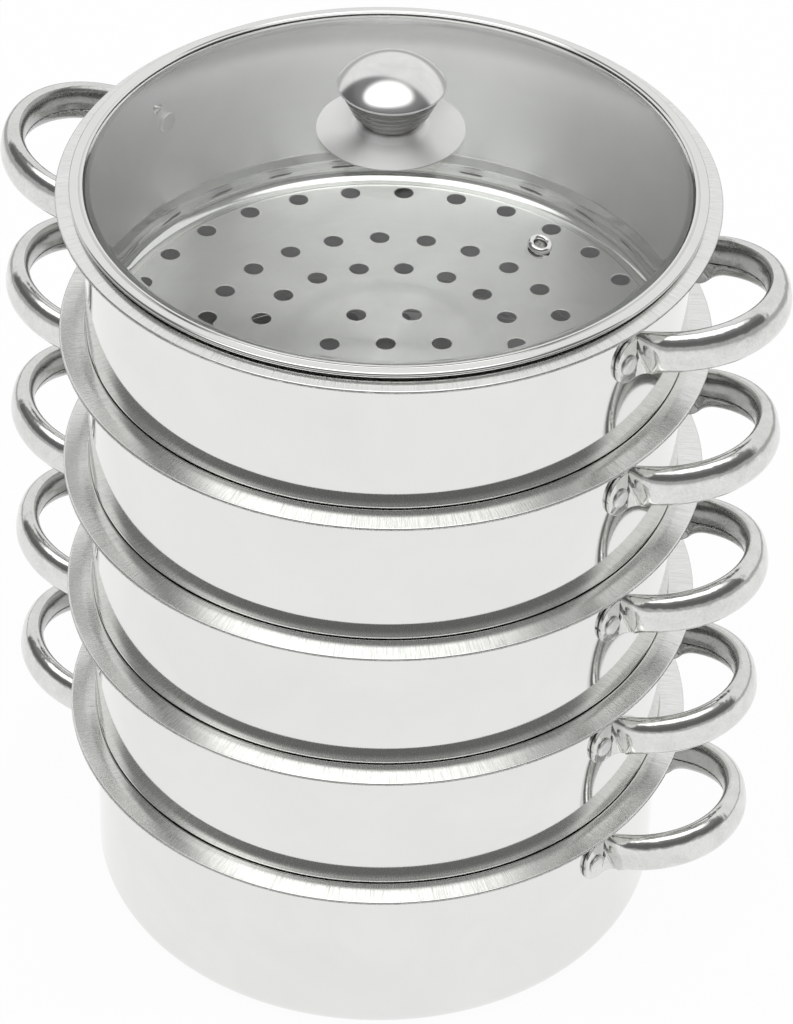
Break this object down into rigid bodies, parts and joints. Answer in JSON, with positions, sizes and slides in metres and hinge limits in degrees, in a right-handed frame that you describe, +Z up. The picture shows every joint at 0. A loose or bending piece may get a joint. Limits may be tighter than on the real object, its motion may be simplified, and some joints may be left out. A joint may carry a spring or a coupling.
{
  "type": "steamer pot",
  "caption": "Tall stainless steamer: a pot, stacked steaming tiers with perforated floors and looped side handles, and a domed glass lid with a round metal knob",
  "frame": {"origin": "centre of the pot's underside, on the surface it stands on", "axes": "+Z up, +X to one column of handles, -Y to the front"},
  "size_m": [0.3366, 0.266, 0.4121],
  "materials": {
    "shell_steel": "polished",
    "handle_steel": "polished",
    "rivet_steel": "satin",
    "band_steel": "polished",
    "eyelet_steel": "polished",
    "knob_dome_steel": "polished",
    "knob_cup_steel": "satin",
    "knob_skirt_steel": "satin",
    "fastener_steel": "satin",
    "gasket_silicone": "matte",
    "lid_glass": "gloss"
  },
  "bodies": {
    "pot": {"pot_shell": "shell_steel", "pot_handle_right": "handle_steel", "pot_handle_left": "handle_steel", "pot_rivets": "rivet_steel"},
    "steamer_1": {"steamer_1_shell": "shell_steel", "steamer_1_handle_right": "handle_steel", "steamer_1_handle_left": "handle_steel", "steamer_1_rivets": "rivet_steel"},
    "steamer_2": {"steamer_2_shell": "shell_steel", "steamer_2_handle_right": "handle_steel", "steamer_2_handle_left": "handle_steel", "steamer_2_rivets": "rivet_steel"},
    "steamer_3": {"steamer_3_shell": "shell_steel", "steamer_3_handle_right": "handle_steel", "steamer_3_handle_left": "handle_steel", "steamer_3_rivets": "rivet_steel"},
    "steamer_4": {"steamer_4_shell": "shell_steel", "steamer_4_handle_right": "handle_steel", "steamer_4_handle_left": "handle_steel", "steamer_4_rivets": "rivet_steel"},
    "lid": {"lid_glass": "lid_glass", "lid_rim_band": "band_steel", "vent_eyelet": "eyelet_steel", "knob_skirt": "knob_skirt_steel", "knob_cup": "knob_cup_steel", "knob_dome": "knob_dome_steel", "knob_screw": "fastener_steel", "knob_nut": "fastener_steel", "knob_gasket_upper": "gasket_silicone", "knob_gasket_lower": "gasket_silicone", "knob_washer": "fastener_steel"}
  },
  "joints": [
    {"name": "steamer_1_lift", "type": "slide", "parent": "pot", "child": "steamer_1", "axis": [0, 0, 1], "range_m": [0, 0.06]},
    {"name": "steamer_2_lift", "type": "slide", "parent": "steamer_1", "child": "steamer_2", "axis": [0, 0, 1], "range_m": [0, 0.06]},
    {"name": "steamer_3_lift", "type": "slide", "parent": "steamer_2", "child": "steamer_3", "axis": [0, 0, 1], "range_m": [0, 0.06]},
    {"name": "steamer_4_lift", "type": "slide", "parent": "steamer_3", "child": "steamer_4", "axis": [0, 0, 1], "range_m": [0, 0.06]},
    {"name": "lid_lift", "type": "slide", "parent": "steamer_4", "child": "lid", "axis": [0, 0, 1], "range_m": [0, 0.06]}
  ]
}
